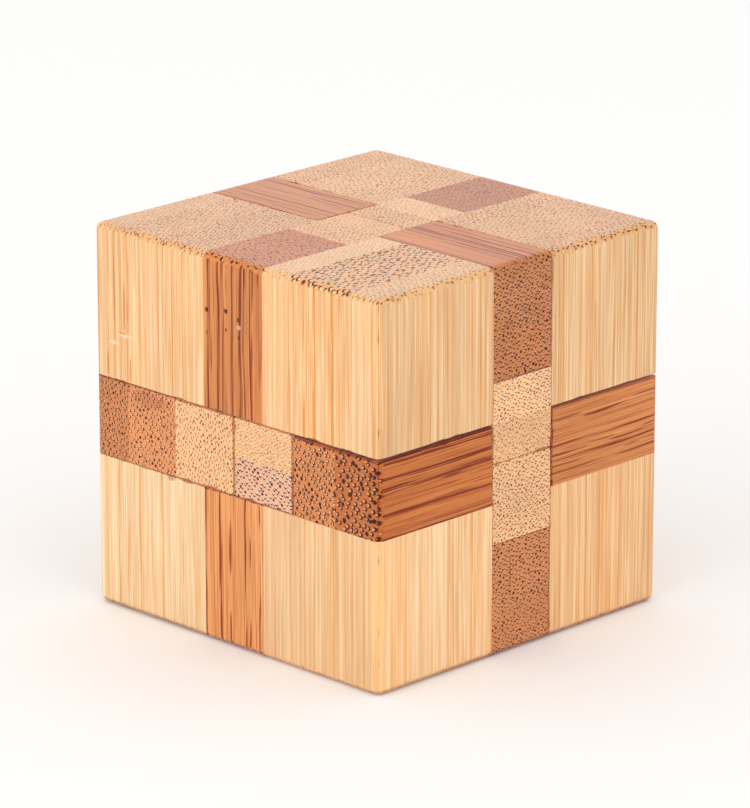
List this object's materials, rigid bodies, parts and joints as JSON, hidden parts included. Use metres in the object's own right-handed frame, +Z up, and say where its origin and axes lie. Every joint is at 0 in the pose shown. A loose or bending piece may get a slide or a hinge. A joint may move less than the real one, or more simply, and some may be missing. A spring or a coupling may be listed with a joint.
{
  "type": "burr puzzle cube",
  "caption": "Interlocking wooden burr puzzle cube of glued bamboo blocks; a plain square key slides out through the middle to free the other pieces.",
  "frame": {"origin": "centre of the base, on the surface that the cube stands on", "axes": "+Z up; the key slides along Y; -Y is the face with the key's end on the right of its middle; +X is the right-hand side, with the ears"},
  "size_m": [0.045, 0.045, 0.045],
  "materials": {
    "natural_bamboo": "fine-sanded pale yellow-tan laminated bamboo, unvarnished, satin",
    "caramel_bamboo": "fine-sanded brown carbonised laminated bamboo with red-brown fibre streaks, satin",
    "pink_bamboo": "fine-sanded pinkish-brown bamboo strip with dark fibre ends, satin"
  },
  "bodies": {
    "rear_piece": {"rear_bar": "natural_bamboo", "rear_upper_spine": "caramel_bamboo", "rear_lower_spine": "caramel_bamboo", "rear_upper_left_block": "natural_bamboo", "rear_upper_right_block": "natural_bamboo", "rear_lower_left_block": "natural_bamboo", "rear_lower_right_block": "natural_bamboo", "rear_ear": "caramel_bamboo"},
    "front_piece": {"front_bar": "natural_bamboo", "front_upper_spine": "caramel_bamboo", "front_lower_spine": "caramel_bamboo", "front_upper_left_block": "natural_bamboo", "front_upper_right_block": "natural_bamboo", "front_lower_left_block": "natural_bamboo", "front_lower_right_block": "natural_bamboo", "front_ear": "caramel_bamboo", "front_upper_wing": "caramel_bamboo", "front_lower_wing": "caramel_bamboo"},
    "top_piece": {"top_bar": "natural_bamboo", "top_wing": "caramel_bamboo"},
    "bottom_piece": {"bottom_bar": "natural_bamboo", "bottom_wing": "caramel_bamboo"},
    "left_piece": {"left_bar": "natural_bamboo", "left_wing_front": "caramel_bamboo", "left_wing_rear": "caramel_bamboo"},
    "key": {"key_upper_strip": "natural_bamboo", "key_lower_strip": "pink_bamboo"}
  },
  "joints": [
    {"name": "key_slide", "type": "slide", "parent": "rear_piece", "child": "key", "axis": [0, 1, 0], "range_m": [-0.05, 0.05]},
    {"name": "front_play", "type": "slide", "parent": "rear_piece", "child": "front_piece", "axis": [0, -1, 0], "range_m": [0, 0.00005]},
    {"name": "left_play", "type": "slide", "parent": "rear_piece", "child": "left_piece", "axis": [-1, 0, 0], "range_m": [0, 0.00005]},
    {"name": "top_play", "type": "slide", "parent": "rear_piece", "child": "top_piece", "axis": [0, 0, 1], "range_m": [0, 0.00005]},
    {"name": "bottom_play", "type": "slide", "parent": "rear_piece", "child": "bottom_piece", "axis": [0, 0, 1], "range_m": [0, 0.00005]}
  ]
}
